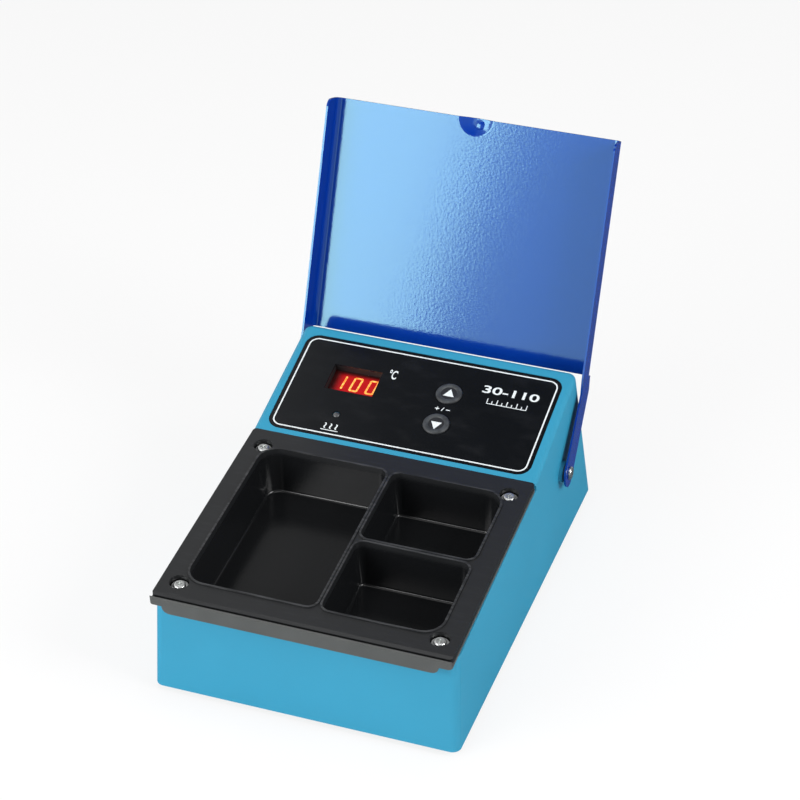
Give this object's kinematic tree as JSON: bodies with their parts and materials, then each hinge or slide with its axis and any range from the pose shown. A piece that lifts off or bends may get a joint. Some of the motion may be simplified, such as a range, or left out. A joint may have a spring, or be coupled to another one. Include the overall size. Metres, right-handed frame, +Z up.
{
  "type": "dental wax heater",
  "caption": "Benchtop dental wax melting pot: drafted plastic housing, cast tray with wax wells, temperature panel with display and keys, and a hinged sheet-metal lid.",
  "frame": {"origin": "centre of the bounding box's bottom face, where the feet rest, with the lid open", "axes": "+Z up, +Y from the tray towards the back, +X to the right of a user who faces the panel"},
  "size_m": [0.1638, 0.2684, 0.2019],
  "materials": {
    "housing_plastic": "cyan-blue moulded ABS, satin",
    "zinc_sheet": "zinc-plated sheet",
    "foot_rubber": "black rubber",
    "zinc_screws": "zinc-plated",
    "tray_coating": "cast aluminium with a black non-stick coat",
    "frame_plastic": "dark grey heat-resistant plastic",
    "bright_screws": "bright plated",
    "silicone_mat": "orange silicone",
    "clamp_aluminium": "mill finish",
    "glass_fibre": "white glass-fibre felt",
    "probe_steel": "stainless tube",
    "cutout_metal": "tinned can and leads",
    "label_film": "dark printed film with a white border",
    "black_plastic": "black",
    "red_window": "clear red",
    "display_face": "red segment display",
    "key_plastic": "dark key with a light triangle",
    "lamp_resin": "diffused resin, unlit",
    "board_laminate": "green solder mask",
    "relay_case": "blue case",
    "nylon": "white nylon",
    "transformer_case": "black potted case",
    "terminal_plastic": "green",
    "heatsink_aluminium": "black anodised",
    "inlet_plastic": "black",
    "pin_metal": "nickel-plated brass",
    "rocker_plastic": "black, white line and ring",
    "fuse_glass": "glass tube with metal ends",
    "lid_paint": "royal-blue powder coat, semi-gloss",
    "rivet_steel": "bright steel"
  },
  "bodies": {
    "base": {"housing": "housing_plastic", "base_plate": "zinc_sheet", "feet": "foot_rubber", "base_screws": "zinc_screws", "wax_tray": "tray_coating", "tray_frame": "frame_plastic", "tray_screws": "bright_screws", "tray_washers": "bright_screws", "heater_mat": "silicone_mat", "heater_clamp": "clamp_aluminium", "insulation_pad": "glass_fibre", "heat_shield": "clamp_aluminium", "heater_screws": "zinc_screws", "temperature_probe": "probe_steel", "thermal_cutout": "cutout_metal", "panel_label": "label_film", "display_bezel": "black_plastic", "display_window": "red_window", "display_module": "display_face", "tact_switches": "black_plastic", "heating_led": "lamp_resin", "control_board": "board_laminate", "controller_chip": "black_plastic", "relay": "relay_case", "board_screws": "zinc_screws", "power_board": "board_laminate", "power_standoffs": "nylon", "power_board_screws": "zinc_screws", "transformer": "transformer_case", "terminal_block": "terminal_plastic", "heatsink": "heatsink_aluminium", "triac": "black_plastic", "mains_inlet": "inlet_plastic", "inlet_pins": "pin_metal", "inlet_screws": "zinc_screws", "inlet_nuts": "zinc_screws", "power_switch_frame": "inlet_plastic", "fuse_holder": "inlet_plastic", "fuse_nut": "inlet_plastic", "hinge_spacers": "nylon", "rivet_washers": "zinc_screws", "hinge_rivets": "rivet_steel"},
    "lid": {"lid": "lid_paint"},
    "button_up": {"button_up": "key_plastic"},
    "button_down": {"button_down": "key_plastic"},
    "rocker": {"power_switch_rocker": "rocker_plastic"},
    "fuse_carrier": {"fuse_cap": "inlet_plastic", "glass_fuse": "fuse_glass"}
  },
  "joints": [
    {"name": "lid_hinge", "type": "hinge", "parent": "base", "child": "lid", "pos_m": [0, 0.04544, 0.0494], "axis": [1, 0, 0], "range_deg": [0, 115.6]},
    {"name": "button_up_press", "type": "slide", "parent": "base", "child": "button_up", "axis": [0, 0.2554, -0.9668], "range_m": [0, 0.0004], "stiffness_N_per_m": 2500},
    {"name": "button_down_press", "type": "slide", "parent": "base", "child": "button_down", "axis": [0, 0.2554, -0.9668], "range_m": [0, 0.0004], "stiffness_N_per_m": 2500},
    {"name": "power_switch", "type": "hinge", "parent": "base", "child": "rocker", "pos_m": [-0.006, 0.0917, 0.03127], "axis": [1, 0, 0], "range_deg": [0, 18]},
    {"name": "fuse_cap_turn", "type": "hinge", "parent": "base", "child": "fuse_carrier", "pos_m": [-0.044, 0.09285, 0.03163], "axis": [0, 0.9543, 0.299], "range_deg": [0, 75]}
  ]
}
